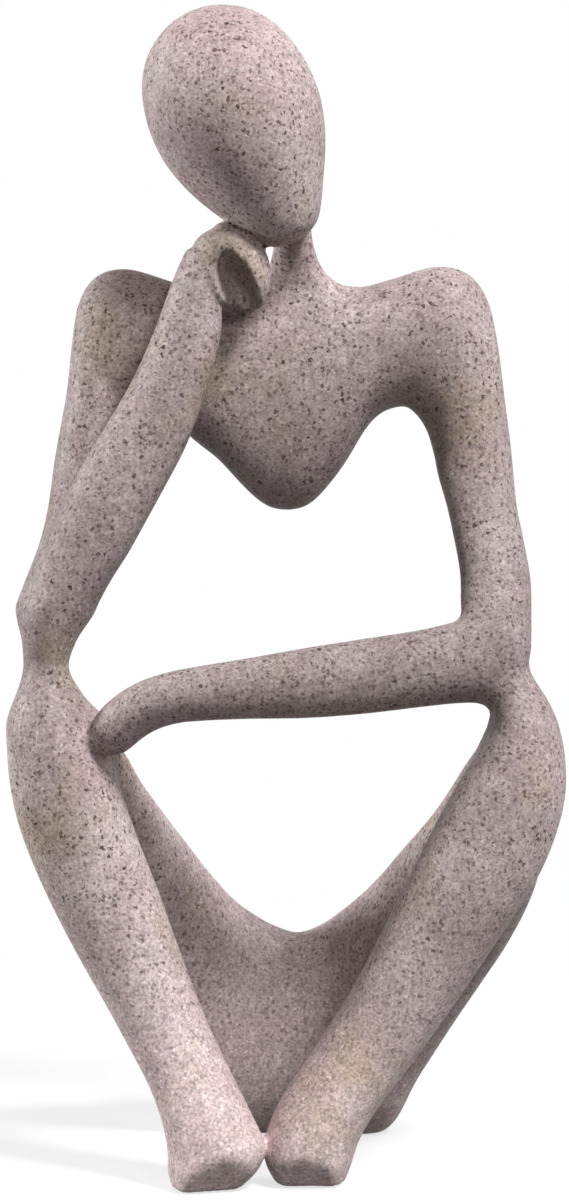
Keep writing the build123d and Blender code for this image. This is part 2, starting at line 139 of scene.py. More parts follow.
@dataclass
class Ribbon:
    """An unbroken run of ovals through several castings.

    Every oval stands in depth along Y, so a point's place along and across the run follows from its
    place in the front view alone.

    Attributes:
        parts: The ovals of each stretch, with the casting that it belongs to.
        step: The spacing of the stations that the run is sampled at.
        softness: How far the run is smoothed along its length.
        round_start: How far the run's start is rounded off.
        round_end: How far the run's end is rounded off.
    """

    parts: list[tuple[Casting, np.ndarray]]
    step: float = 1.0
    softness: float = 1.5
    round_start: float = END_ROUNDING
    round_end: float = END_ROUNDING
    stations: np.ndarray = field(init=False)
    owners: np.ndarray = field(init=False)

    def __post_init__(self) -> None:
        """Samples the run at even stations, smooths it and notes each station's casting."""
        ovals = np.vstack([part for _, part in self.parts])
        owner = np.concatenate([[CASTINGS.index(casting)] * len(part)
                                for casting, part in self.parts])
        turns = ovals[:, 5]
        for i in range(1, len(turns)):
            turns[i] -= 180 * round((turns[i] - turns[i - 1]) / 180)
        places = np.r_[0, np.cumsum(np.linalg.norm(np.diff(ovals[:, :3], axis=0), axis=1))]
        even = np.linspace(0, places[-1], max(8, int(places[-1] / self.step)))
        spacing = even[1] - even[0]
        self.stations = self.smoothed(self.curved(places, ovals, even), self.softness / spacing)
        halfway = (places[1:] + places[:-1]) / 2
        self.owners = owner[np.searchsorted(halfway, even)]

    @staticmethod
    def curved(places: np.ndarray, lines: np.ndarray, even: np.ndarray) -> np.ndarray:
        """Draws smooth cubics through columns of values and reads them at other places."""
        slopes = np.gradient(lines, places, axis=0)
        i = np.clip(np.searchsorted(places, even, "right") - 1, 0, len(places) - 2)
        gap = (places[i + 1] - places[i])[:, None]
        t = (even - places[i])[:, None] / gap
        rest = 1 - t
        ends = lines[i] * rest * rest * (1 + 2 * t) + lines[i + 1] * t * t * (3 - 2 * t)
        return ends + gap * t * rest * (slopes[i] * rest - slopes[i + 1] * t)

    @staticmethod
    def smoothed(lines: np.ndarray, sigma: float) -> np.ndarray:
        """Smooths columns with a bell of that many stations, keeping both ends where they are."""
        weights = bell(sigma)
        reach = len(weights) // 2
        before = 2 * lines[0] - lines[reach:0:-1]
        after = 2 * lines[-1] - lines[-2:-reach - 2:-1]
        padded = np.vstack([before, lines, after])
        return np.stack([np.convolve(column, weights, "valid") for column in padded.T], axis=1)

    def across(self, x: np.ndarray, z: np.ndarray) -> dict[str, np.ndarray]:
        """Finds where points of the front view lie on the run.

        Args:
            x: The points' x.
            z: The points' z.

        Returns:
            The share of the half width, the rounding at an end, the oval's middle y, half width, half
            depth and casting, each with the points' shape.
        """
        shape = x.shape
        px, pz = x.ravel(), z.ravel()
        cx, _, cz, _, _, turn = self.stations.T
        ax, az = np.cos(np.radians(turn)), np.sin(np.radians(turn))
        rows = np.column_stack([self.stations[:, :5], ax, az])
        nx, nz = az, -ax
        if (np.diff(cx) * nx[:-1] + np.diff(cz) * nz[:-1]).sum() < 0:
            nx, nz = -nx, -nz
        best = np.full(px.size, np.inf)
        found = {name: np.zeros(px.size) for name in ("u", "end", "y", "half", "deep", "owner")}
        found["half"] += 1
        found["deep"] += 1
        before = (px - cx[0]) * nx[0] + (pz - cz[0]) * nz[0]

        def offer(mask: np.ndarray, i: int, t: np.ndarray, end: np.ndarray) -> None:
            """Takes station i plus t for the masked points that it lies nearer to."""
            after = rows[min(i + 1, len(rows) - 1)]
            mx, y, mz, half, deep, tx, tz = (rows[i] + t[:, None] * (after - rows[i])).T
            u = ((px[mask] - mx) * tx + (pz[mask] - mz) * tz) / half
            score = u * u + end * end
            nearer = score < best[mask]
            where = np.flatnonzero(mask)[nearer]
            best[where] = score[nearer]
            for name, values in (("u", u), ("end", end), ("y", y), ("half", half), ("deep", deep)):
                found[name][where] = values[nearer]
            found["owner"][where] = self.owners[i]

        mask = before <= 0
        offer(mask, 0, np.zeros(mask.sum()), -before[mask] / self.round_start)
        for i in range(len(cx) - 1):
            after = (px - cx[i + 1]) * nx[i + 1] + (pz - cz[i + 1]) * nz[i + 1]
            mask = (before >= 0) & (after < 0)
            if mask.any():
                t = before[mask] / (before[mask] - after[mask])
                offer(mask, i, t, np.zeros(mask.sum()))
            before = after
        mask = before >= 0
        offer(mask, len(cx) - 1, np.zeros(mask.sum()), before[mask] / self.round_end)
        return {name: values.reshape(shape) for name, values in found.items()}


def oval_distance(at: dict[str, np.ndarray], y: np.ndarray) -> np.ndarray:
    """Works out the distance to a run's surface, below zero inside it.

    Args:
        at: What Ribbon.across found, shaped (x, 1, z).
        y: The y of the grid's layers, shaped (1, y, 1).

    Returns:
        The distance at every point of the grid.
    """
    v = (y - at["y"]) / at["deep"]
    flat = at["u"] ** 2 + at["end"] ** 2
    slope = (at["u"] / at["half"]) ** 2 + (at["end"] / END_ROUNDING) ** 2
    q = np.sqrt(flat + v * v) + 1e-6
    g = np.sqrt(slope + (v / at["deep"]) ** 2) + 1e-6
    return ((q - 1) * q / g).astype(np.float32)


def blended(a: np.ndarray, b: np.ndarray, reach: np.ndarray | float) -> np.ndarray:
    """Joins two distance fields with a fillet of about that reach."""
    h = np.clip(reach - np.abs(a - b), 0, None) / reach
    return np.minimum(a, b) - h * h * reach / 4


@dataclass(frozen=True)
class Egg:
    """The head: an egg turned about its tilted long axis, with its fat end up.

    Attributes:
        middle: The middle of the long axis.
        length: The long axis.
        width: The diameter where the egg is fattest.
        tilt: How far the crown leans to the figure's right, in degrees.
        radius_shares: Radii as shares of half the width, from the crown to the chin.
        station_shares: Where those radii are, as shares of the length.
        past_crown: How fast the squared radius falls past the crown.
        past_chin: How fast it falls past the chin.
        softness: How many samples the squared radius is smoothed over.
    """

    middle: Point = (-6.6, -14.0, 233.5)
    length: float = 56.3
    width: float = 38.5
    tilt: float = 24.8
    radius_shares: tuple[float, ...] = (
        0, .33, .69, .85, .935, .985, 1, .985, .935, .855, .745, .62, .49, .33, 0)
    station_shares: tuple[float, ...] = (
        0, .02, .10, .18, .26, .34, .417, .50, .575, .655, .735, .81, .89, .97, 1)
    past_crown: float = 5.0
    past_chin: float = 4.0
    softness: float = 5.0

    def distance(self, x: np.ndarray, y: np.ndarray, z: np.ndarray) -> np.ndarray:
        """Works out the distance to the egg's surface on a grid, below zero inside the egg."""
        tilt = math.radians(self.tilt)
        dx, dy, dz = x - self.middle[0], y - self.middle[1], z - self.middle[2]
        along = -dx * math.sin(tilt) + dz * math.cos(tilt)
        side = dx * math.cos(tilt) + dz * math.sin(tilt)
        even = np.linspace(-0.15, 1.15, 261)
        square = np.interp(even, self.station_shares, np.square(self.radius_shares))
        square = np.where(even > 1, (1 - even) * self.past_chin, square)
        square = np.where(even < 0, even * self.past_crown, square)
        weights = bell(self.softness)
        square = np.convolve(np.pad(square, len(weights) // 2, "edge"), weights, "valid")
        share = 0.5 - along / self.length
        radius = self.width / 2
        r2 = np.interp(share, even, square) * radius ** 2
        dr2 = np.interp(share, even, np.gradient(square, even)) * radius ** 2 / self.length
        rho2 = side ** 2 + dy ** 2
        return ((rho2 - r2) / np.sqrt(4 * rho2 + dr2 ** 2 + 1e-3)).astype(np.float32)


@dataclass(frozen=True)
class Joints:
    """Where the limbs meet, in millimetres from the body's mid-plane."""

    raised_shoulder: Point = (-27.0, 4.0, 186.2)
    resting_shoulder: Point = (27.0, 4.0, 186.2)
    raised_elbow: Point = (-50.0, -21.0, 113.4)
    resting_elbow: Point = (53.8, -22.0, 108.8)
    wrist: Point = (-15.4, -14.5, 204.9)
    neck_foot: Point = (3.9, 3.0, 194.0)
    neck_top: Point = (3.9, -8.0, 215.8)
    crossing_root: Point = (47.0, -22.0, 115.6)
    fingertip: Point = (-38.0, -26.0, 96.6)
    raised_foot: Point = (-10.9, -33.5, 0.0)
    resting_foot: Point = (9.9, -26.0, 0.0)
    hidden_arm_end: Point = (-48.5, -17.0, 127.1)
    knuckles: Point = (-10.4, -14.9, 211.4)
    curled_tip: Point = (-5.2, -16.0, 192.4)
    palm_top: Point = (-9.0, -21.0, 204.8)
    palm_foot: Point = (-4.7, -21.0, 189.5)


@dataclass
class Arms:
    """The chest with both upper arms, both forearms, the curled hand and the neck."""

    joints: Joints
    shoulder_height: float = 29.3
    shoulder_depth: float = 22.0
    chest_height: float = 52.0
    chest_depth: float = 24.0
    chest_sag: float = 12.2
    arm_width: float = 16.0
    crossing_width: float = 15.0

    @staticmethod
    def seam(middle: Point, width: float, depth: float, turn: float) -> np.ndarray:
        """One oval at a joint."""
        return np.array([[*middle, width / 2, depth / 2, turn]])

    def chest(self) -> np.ndarray:
        """The chest's ovals, from the raised arm's shoulder to the resting arm's."""
        rows = (
            (0.13, 0.38, 0, 0.67, 0.96, 90),
            (0.24, 0.58, 0, 0.75, 0.98, 90),
            (0.35, 0.82, 0, 0.885, 1.0, 90),
            (0.445, 0.98, 0, 0.975, 1.0, 90),
            (0.54, 1.0, 0, 1.0, 1.0, 90),
            (0.63, 0.94, 0, 0.975, 1.0, 90),
            (0.70, 0.80, 0, 0.89, 1.0, 90),
            (0.78, 0.59, 0, 0.77, 0.98, 90),
            (0.87, 0.26, 0, 0.61, 0.96, 90),
            (0.935, 0.08, 0, 0.565, 0.93, 90),
        )
        ends = self.joints.raised_shoulder, self.joints.resting_shoulder
        limb = Limb(Casting.TORSO, *ends, bow=-self.chest_sag, width=self.chest_height,
                    depth=self.chest_depth, rows=rows)
        seams = [self.seam(end, self.shoulder_height, self.shoulder_depth, 90) for end in ends]
        return np.vstack([seams[0], limb.ovals(), seams[1]])

    def resting_arm(self) -> np.ndarray:
        """The resting upper arm's ovals, from the shoulder to the elbow's waist."""
        rows = (
            (0.01, 0.56, 0, 2.06, 1.38, 77),
            (0.05, 0.88, 0, 2.14, 1.38, 70),
            (0.11, 1.0, 0, 2.01, 1.31, 64),
            (0.18, 0.97, 0.04, 1.72, 1.25, 57),
            (0.27, 0.86, 0.08, 1.34, 1.16, 43),
            (0.48, 0.60, 0.31, 1.0, 1.0, 0),
            (0.59, 0.52, 0.50, 0.98, 1.0, -3),
            (0.70, 0.415, 0.69, 0.98, 1.0, -4),
            (0.80, 0.20, 0.88, 0.97, 1.0, -4),
            (0.89, 0.06, 0.96, 0.86, 0.94, 8),
        )
        ends = self.joints.resting_shoulder, self.joints.resting_elbow
        limb = Limb(Casting.RESTING_UPPER_ARM, *ends, bow=11.0, width=self.arm_width,
                    depth=self.arm_width, rows=rows)
        return limb.ovals()

    def raised_arm(self) -> np.ndarray:
        """The raised upper arm's ovals, from its hidden lower end up to the shoulder."""
        rows = (
            (0.02, 0.57, 0, 2.08, 1.38, 78),
            (0.07, 0.89, 0, 2.14, 1.38, 72),
            (0.14, 1.0, 0, 2.0, 1.31, 67),
            (0.23, 0.92, 0.05, 1.67, 1.25, 61),
            (0.34, 0.77, 0.10, 1.28, 1.16, 50),
            (0.62, 0.34, 0.38, 1.02, 1.0, 0),
            (0.75, 0.17, 0.62, 1.0, 1.0, 0),
            (0.88, 0.05, 0.86, 0.97, 0.94, 0),
            (1.0, 0, 1.0, 0.95, 0.92, 0),
        )
        x, y, z = self.joints.hidden_arm_end
        limb = Limb(Casting.RAISED_UPPER_ARM, self.joints.resting_shoulder, (-x, y, z), bow=10.4,
                    width=self.arm_width, depth=self.arm_width, rows=rows)
        return limb.ovals(mirrored=True)[::-1]

    def raised_forearm(self) -> np.ndarray:
        """The raised forearm's ovals, from the wrist down to the elbow's waist."""
        rows = (
            (0.05, 0.34, 0, 0.73, 1.0, 0),
            (0.11, 0.66, 0.08, 0.88, 1.13, -3),
            (0.19, 0.50, 0.15, 1.01, 1.13, -5),
            (0.28, 0.24, 0.31, 1.12, 1.07, -9),
            (0.39, 0, 0.46, 1.20, 1.0, -12),
            (0.48, -0.32, 0.62, 1.20, 0.93, -14),
            (0.57, -0.71, 0.77, 1.15, 0.90, -17),
            (0.67, -0.98, 0.85, 1.05, 0.87, -18),
            (0.77, -1.0, 0.92, 0.96, 0.87, -17),
            (0.86, -0.79, 1.0, 0.87, 0.83, -15),
            (0.94, -0.31, 1.0, 0.68, 0.80, -15),
            (1.0, 0, 1.0, 0.50, 0.73, -17),
        )
        ends = self.joints.raised_elbow, self.joints.wrist
        limb = Limb(Casting.RAISED_FOREARM, *ends, bow=3.3, width=self.arm_width, depth=15.0,
                    rows=rows)
        return np.vstack([self.seam(ends[0], 9.7, 13.0, 0), limb.ovals()])[::-1]

    def crossing_forearm(self) -> Ribbon:
        """The forearm that crosses from the resting elbow to the other knee."""
        rows = (
            (0, 0, 0, 1.30, 1.12, -77),
            (0.06, 0.08, 0.25, 1.18, 1.08, -80),
            (0.12, 0.13, 0.50, 1.14, 1.04, -86),
            (0.29, 0.31, 1.0, 1.10, 1.0, -88),
            (0.45, 0.53, 1.5, 1.02, 1.0, -89),
            (0.57, 0.72, 1.75, 0.90, 0.96, -88),
            (0.69, 0.90, 2.0, 0.81, 0.92, -85),
            (0.78, 0.98, 2.0, 0.76, 0.92, -76),
            (0.85, 0.87, 1.75, 0.75, 0.92, -69),
            (0.91, 0.58, 1.5, 0.75, 0.92, -62),
            (0.96, 0.20, 1.25, 0.70, 0.85, -55),
            (1.0, 0, 1.0, 0.45, 0.70, -51),
        )
        ends = self.joints.crossing_root, self.joints.fingertip
        limb = Limb(Casting.CROSSING_FOREARM, *ends, bow=-6.8, width=self.crossing_width, depth=13.0,
                    rows=rows)
        return Ribbon([(limb.casting, limb.ovals())], softness=2.0, round_end=1.5)

    def hand(self) -> Ribbon:
        """The mitten of the curled hand, from its knuckles to its curled tip."""
        rows = (
            (0, 0, 0, 0.25, 0.74, 0),
            (0.07, -0.1, 0, 0.62, 0.95, 0),
            (0.215, -1.0, 0, 0.945, 1.0, 0),
            (0.43, -0.8, 0, 1.0, 1.0, 0),
            (0.65, -1.0, 0, 0.88, 1.0, 0),
            (0.81, -1.0, 0, 0.66, 0.9, 0),
            (0.925, 0.15, 0, 0.44, 0.72, 0),
            (1.0, 0, 0, 0.22, 0.42, 0),
        )
        ends = self.joints.knuckles, self.joints.curled_tip
        limb = Limb(Casting.RAISED_FOREARM, *ends, bow=0.5, width=16.6, depth=13.0, rows=rows)
        return self.small(limb)

    def palm_hollow(self) -> Ribbon:
        """The hollow scooped out of the curled hand's palm, open to the front."""
        rows = (
            (0, 0, 0, 0.40, 0.4, 0),
            (0.10, 0, 0, 0.72, 0.78, 0),
            (0.24, 0, 0, 0.90, 0.95, 0),
            (0.42, 0, 0, 1.0, 1.0, 0),
            (0.65, 0, 0, 1.0, 1.0, 0),
            (1.0, 0, 0, 1.0, 1.0, 0),
        )
        ends = self.joints.palm_top, self.joints.palm_foot
        limb = Limb(Casting.RAISED_FOREARM, *ends, bow=0, width=8.6, depth=17.6, rows=rows)
        return self.small(limb)

    @staticmethod
    def small(limb: Limb) -> Ribbon:
        """A finely sampled run of one small limb, barely rounded at its ends."""
        return Ribbon([(limb.casting, limb.ovals())], step=0.5, softness=0.8, round_start=1.0,
                      round_end=1.0)

    def neck(self) -> Ribbon:
        """The neck, flared into the chest at its foot."""
        rows = (
            (0, 0, 0, 3.0, 1.45, 0),
            (0.25, 0, 0.09, 2.1, 1.38, 0),
            (0.38, 0, 0.22, 1.55, 1.25, 0),
            (0.52, 0, 0.42, 1.22, 1.1, 0),
            (0.70, 0, 0.65, 1.03, 1.0, 0),
            (1.0, 0, 1.0, 0.98, 1.0, 0),
        )
        ends = self.joints.neck_foot, self.joints.neck_top
        limb = Limb(Casting.TORSO, *ends, bow=0, width=8.4, depth=9.0, rows=rows)
        return Ribbon([(limb.casting, limb.ovals())], step=0.5, softness=1.0)


@dataclass
class Legs:
    """Both lower legs with their feet, and the thighs that run back to the seat."""

    joints: Joints
    knee_depth: float = 24.0

    def raised_shin(self) -> np.ndarray:
        """The ovals of the lower leg under the raised arm, from the elbow's waist to the foot."""
        rows = (
            (0.053, 0.17, 0, 0.59, 0.79, 0),
            (0.093, 0.33, 0.03, 0.775, 0.92, 0),
            (0.144, 0.42, 0.08, 0.87, 1.0, 0),
            (0.212, 0.57, 0.08, 0.95, 1.0, 0),
            (0.297, 0.67, 0.04, 1.0, 1.0, 0),
            (0.37, 0.64, 0.04, 1.005, 0.96, 0),
            (0.44, 0.54, 0.12, 0.99, 0.92, 0),
            (0.515, 0.42, 0.22, 0.94, 0.87, 0),
            (0.59, 0.27, 0.32, 0.88, 0.83, 0),
            (0.66, 0.10, 0.44, 0.82, 0.79, 0),
            (0.74, -0.10, 0.58, 0.78, 0.79, 0),
            (0.81, -0.31, 0.72, 0.765, 0.83, 0),
            (0.885, -0.45, 0.88, 0.80, 0.92, 0),
            (0.94, -0.44, 0.96, 0.85, 0.96, 0),
            (0.98, -0.06, 1.0, 0.745, 0.92, 0),
            (1.0, 0.22, 1.0, 0.56, 0.84, 0),
        )
        ends = self.joints.raised_elbow, self.joints.raised_foot
        limb = Limb(Casting.RAISED_LOWER_LEG, *ends, bow=-7.6, width=25.5, depth=self.knee_depth,
                    rows=rows)
        return limb.ovals()

    def resting_shin(self) -> np.ndarray:
        """The ovals of the lower leg under the resting arm, from the elbow's waist to the foot."""
        rows = (
            (0.03, 0.27, 0.08, 0.46, 0.86, 18),
            (0.077, 0.43, 0.25, 0.615, 0.97, 5),
            (0.128, 0.51, 0.38, 0.755, 1.0, 0),
            (0.18, 0.545, 0.50, 0.875, 1.0, 0),
            (0.255, 0.56, 0.50, 0.96, 1.0, 0),
            (0.33, 0.54, 0.50, 0.99, 1.0, 0),
            (0.405, 0.48, 0.45, 0.97, 0.96, 0),
            (0.48, 0.40, 0.38, 0.925, 0.92, 0),
            (0.56, 0.31, 0.35, 0.885, 0.875, 0),
            (0.64, 0.20, 0.35, 0.855, 0.83, 0),
            (0.72, 0.07, 0.40, 0.84, 0.83, 0),
            (0.80, -0.08, 0.55, 0.825, 0.875, 0),
            (0.88, -0.20, 0.75, 0.775, 0.96, 0),
            (0.935, -0.20, 0.90, 0.725, 0.98, 0),
            (0.977, -0.10, 1.0, 0.65, 0.94, 0),
            (1.0, 0, 1.0, 0.535, 0.84, 0),
        )
        ends = self.joints.resting_elbow, self.joints.resting_foot
        limb = Limb(Casting.RESTING_LOWER_LEG, *ends, bow=15.0, width=28.6, depth=self.knee_depth,
                    rows=rows)
        return np.vstack([Arms.seam(ends[0], 11.6, 14.0, 39), limb.ovals()])

    def thigh(self, casting: Casting) -> np.ndarray:
        """A thigh's ovals, from behind the knee to the hip, each drawn between its two edges."""
        raised = (
            (-19, 4.5, -37.2, 100.7, -53.2, 99.7),
            (-13.5, 7.8, -33.9, 94.3, -55.0, 91.0),
            (-7, 10.8, -31.0, 86.8, -53.8, 76.0),
            (1, 12.5, -26.5, 78.2, -49.5, 64.0),
            (10, 13.5, -21.4, 69.0, -44.8, 51.0),
            (17, 14.5, -17.1, 61.6, -39.5, 38.3),
            (24, 15.5, -12.4, 54.9, -32.5, 24.0),
            (28, 16.0, -9.1, 51.8, -28.0, 13.0),
            (32, 16.5, -5.0, 48.7, -21.0, 0),
        )
        resting = (
            (-19, 4.5, 49.2, 100.8, 62.0, 99.7),
            (-13.5, 7.8, 46.0, 95.3, 63.8, 91.0),
            (-7, 10.8, 41.6, 88.6, 61.5, 75.5),
            (1, 12.5, 36.0, 79.8, 58.6, 62.5),
            (10, 13.5, 27.7, 69.6, 52.2, 48.6),
            (17, 14.5, 22.3, 62.9, 45.2, 37.3),
            (24, 15.5, 15.7, 56.0, 36.8, 24.0),
            (28, 16.0, 11.8, 52.6, 30.0, 13.0),
            (32, 16.5, 6.9, 48.9, 22.5, 0),
        )
        return self.between(raised if casting is Casting.RAISED_THIGH else resting)

    @staticmethod
    def between(edges: tuple[Row, ...]) -> np.ndarray:
        """Turns rows of y, half depth, and the upper and lower edge's x and z into ovals."""
        lines = []
        for y, deep, x, z, low_x, low_z in edges:
            half = math.hypot(low_x - x, low_z - z) / 2
            turn = math.degrees(math.atan2(low_z - z, low_x - x))
            lines.append([(x + low_x) / 2, y, (z + low_z) / 2, half, deep, turn])
        return np.array(lines)

    def lap(self) -> Ribbon:
        """Both thighs and the pelvis between them, in one run."""
        pelvis = self.between(((33, 17.0, 1.0, 46.7, 1.0, -2.8),))
        return Ribbon([
            (Casting.RAISED_THIGH, self.thigh(Casting.RAISED_THIGH)),
            (Casting.PELVIS, pelvis),
            (Casting.RESTING_THIGH, self.thigh(Casting.RESTING_THIGH)[::-1]),
        ], softness=2.0)


@dataclass
class Skin:
    """The figure's whole surface, worked out on a grid and cut into a closed piece for each casting.

    Attributes:
        joints: Where the limbs meet.
        pitch: The grid's spacing.
        low: The grid's lowest corner.
        high: Its highest corner.
        wall: How far a piece's border is turned inwards.
        toe_reach: How far in front of the middle of its sole a foot is cut off.
        toe_leans: How far the raised and the resting side's cuts face to the figure's left.
        toe_front: How far both face forwards.
        toe_down: How far both face down.
        toe_rounding: How far their edges are rounded.
        sunk_end: How far both shins' ends go on below the floor before they round off.
        glue_film: The gap between the curled hand and the head.
        cut_roundings: How far the edges of the palm's hollow and of the head's seat are rounded.
        hand_middle: The curled hand's x and z.
        hand_reach: How far round there the hand's cuts go.
        raised_reach: The raised forearm's and shin's blend with the rest, by height.
        outer_reach: What that is multiplied by, by the share across the limb.
        lap_reach: The thighs' blend with the shins, by height.
        crossing_reach: The crossing forearm's blend with both knees, by x.
        neck_reach: The neck's blend with the chest.
        palm_reach: The curled hand's blend with its wrist.
        chin_reach: The head's blend with what it touches, by y.
        chin_side: What that is multiplied by, by x, so that the neck stays creased.
    """

    joints: Joints
    pitch: float = 0.8
    low: Point = (-64.0, -48.0, -2.4)
    high: Point = (71.2, 53.6, 264.0)
    wall: float = 2.5
    toe_reach: float = 6.6
    toe_leans: tuple[float, float] = (0.35, 0.05)
    toe_front: float = 0.8
    toe_down: float = 0.57
    toe_rounding: float = 1.0
    sunk_end: float = 40.0
    glue_film: float = 0.25
    cut_roundings: tuple[float, float] = (0.8, 0.3)
    hand_middle: tuple[float, float] = (-8.0, 200.0)
    hand_reach: float = 40.0
    raised_reach: Steps = ((6, 14, 30, 112, 122, 150, 200, 207), (0.8, 2.5, 5, 5, 6, 5, 5, 1))
    outer_reach: Steps = ((-0.6, 0.2), (1.2, 1.0))
    lap_reach: Steps = ((68, 88), (1.6, 4.0))
    crossing_reach: Steps = ((-34, -20, 30, 46), (0.4, 2, 2, 3))
    neck_reach: float = 3.0
    palm_reach: float = 2.0
    chin_reach: Steps = ((-16, -12), (0.05, 2.8))
    chin_side: Steps = ((-4, 0), (1, 0.02))

    def grid(self) -> tuple[np.ndarray, np.ndarray, np.ndarray]:
        """The grid's x, y and z, shaped to broadcast against each other."""
        axes = [np.arange(a, b, self.pitch, dtype=np.float32) for a, b in zip(self.low, self.high)]
        return axes[0][:, None, None], axes[1][None, :, None], axes[2][None, None, :]

    def fields(self) -> tuple[np.ndarray, np.ndarray]:
        """Works out the figure's distance field and which casting each point belongs to.

        Returns:
            The distance and the casting's number at every point of the grid.
        """
        x, y, z = self.grid()
        arms, legs = Arms(self.joints), Legs(self.joints)
        flat_x, flat_z = np.broadcast_arrays(x[:, 0, :], z[0, :, :])

        def run(ribbon: Ribbon) -> tuple[np.ndarray, np.ndarray, np.ndarray]:
            """One ribbon's distance, castings and share across on the grid."""
            found = ribbon.across(flat_x, flat_z).items()
            at = {name: values[:, None, :].astype(np.float32) for name, values in found}
            return oval_distance(at, y), at["owner"].astype(np.int8), at["u"]

        def reach(*tables: tuple[np.ndarray, Steps]) -> np.ndarray:
            """The product of what each table of steps gives at its values."""
            return math.prod(np.interp(at, *steps) for at, steps in tables).astype(np.float32)

        upper = Ribbon([
            (Casting.RAISED_UPPER_ARM, arms.raised_arm()),
            (Casting.TORSO, arms.chest()),
            (Casting.RESTING_UPPER_ARM, arms.resting_arm()),
            (Casting.RESTING_LOWER_LEG, legs.resting_shin()),
        ], round_end=self.sunk_end)
        raised = Ribbon([
            (Casting.RAISED_FOREARM, arms.raised_forearm()),
            (Casting.RAISED_LOWER_LEG, legs.raised_shin()),
        ], round_start=1.0, round_end=self.sunk_end)
        whole, owner, _ = run(upper)
        whole = self.toe_cut(whole, self.joints.resting_foot, self.toe_leans[1])
        owner = np.broadcast_to(owner, whole.shape).copy()
        nearest = whole.copy()

        def join(distance: np.ndarray, owners: np.ndarray, fillet: np.ndarray | float) -> None:
            """Blends one more run into the whole and notes where it lies nearest."""
            nonlocal whole, nearest
            closer = distance < nearest
            owner[closer] = np.broadcast_to(owners, distance.shape)[closer]
            np.minimum(nearest, distance, out=nearest)
            whole = blended(whole, distance, fillet)

        distance, owners, across = run(raised)
        distance = self.toe_cut(distance, self.joints.raised_foot, self.toe_leans[0])
        join(distance, owners, reach((z, self.raised_reach), (across, self.outer_reach)))
        for ribbon, fillet in (
                (legs.lap(), reach((z, self.lap_reach))),
                (arms.crossing_forearm(), reach((x, self.crossing_reach))),
                (arms.neck(), self.neck_reach),
                (arms.hand(), self.palm_reach)):
            distance, owners, _ = run(ribbon)
            join(distance, owners, fillet)
        hollow, _, _ = run(arms.palm_hollow())
        away = np.abs(x - self.hand_middle[0]) + np.abs(z - self.hand_middle[1])
        head = Egg().distance(x, y, z)
        for cut, rounding in zip((hollow, head - self.glue_film), self.cut_roundings):
            whole = np.where(away < self.hand_reach, -blended(-whole, cut, rounding), whole)
        owner[head < nearest] = CASTINGS.index(Casting.HEAD)
        whole = blended(whole, head, reach((y, self.chin_reach), (x, self.chin_side)))
        return np.maximum(whole, -z), owner

    def toe_cut(self, distance: np.ndarray, foot: Point, lean: float) -> np.ndarray:
        """Cuts a foot's toe end off aslant, facing forwards and down.

        Args:
            distance: The leg's distance on the grid.
            foot: The middle of the foot's sole.
            lean: How far the cut faces to the figure's left.

        Returns:
            The distance with the cut.
        """
        x, y, z = self.grid()
        front = y - foot[1] + self.toe_reach
        plane = (x - foot[0]) * lean - front * self.toe_front - z * self.toe_down
        return -blended(-distance, -plane, self.toe_rounding)

    def surface(self, values: np.ndarray) -> tuple[np.ndarray, np.ndarray, np.ndarray]:
        """Draws the zero surface of a field as a net of quads.

        Args:
            values: The field on the grid.

        Returns:
            The points in millimetres, their outward normals, and the quads.
        """
        inside = values < 0
        shape = values.shape
        cell = np.full(tuple(n - 1 for n in shape), -1, np.int32)
        corners = [(i, j, k) for i in (0, 1) for j in (0, 1) for k in (0, 1)]

        def corner(array: np.ndarray, at: tuple[int, int, int]) -> np.ndarray:
            """The array's values at one corner of every cell."""
            return array[tuple(slice(o, o + n - 1) for o, n in zip(at, shape))]

        count = sum(corner(inside, at).astype(np.int8) for at in corners)
        used = np.argwhere((count > 0) & (count < 8))
        cell[tuple(used.T)] = np.arange(len(used))
        total = np.zeros((len(used), 3))
        number = np.zeros(len(used))
        for a in corners:
            for axis in range(3):
                if a[axis]:
                    continue
                b = tuple(v + (i == axis) for i, v in enumerate(a))
                va = values[tuple((used + a).T)].astype(float)
                vb = values[tuple((used + b).T)].astype(float)
                cut = (va < 0) != (vb < 0)
                t = np.where(cut, va / np.where(cut, va - vb, 1), 0)
                spot = np.tile(np.array(a, float), (len(used), 1))
                spot[:, axis] += t
                total += spot * cut[:, None]
                number += cut
        points = used + total / number[:, None]
        quads = []
        for axis in range(3):
            lead = [slice(1, n - 1) for n in shape]
            tail = list(lead)
            lead[axis], tail[axis] = slice(0, shape[axis] - 1), slice(1, shape[axis])
            a, b = inside[tuple(lead)], inside[tuple(tail)]
            first, second = [i for i in range(3) if i != axis]
            for flip in (False, True):
                found = np.argwhere((a & ~b) if not flip else (~a & b))
                if not len(found):
                    continue
                base = found + [0 if i == axis else 1 for i in range(3)]
                ring = []
                for du, dv in ((-1, -1), (0, -1), (0, 0), (-1, 0)):
                    at = base.copy()
                    at[:, first] += du
                    at[:, second] += dv
                    ring.append(cell[tuple(at.T)])
                if flip != (axis == 1):
                    ring.reverse()
                quads.append(np.stack(ring, axis=1))
        slopes = np.gradient(values)
        normals = np.stack([self.sample(slope, points) for slope in slopes], axis=1)
        normals /= np.linalg.norm(normals, axis=1)[:, None] + 1e-9
        return points * self.pitch + np.array(self.low), normals, np.vstack(quads)

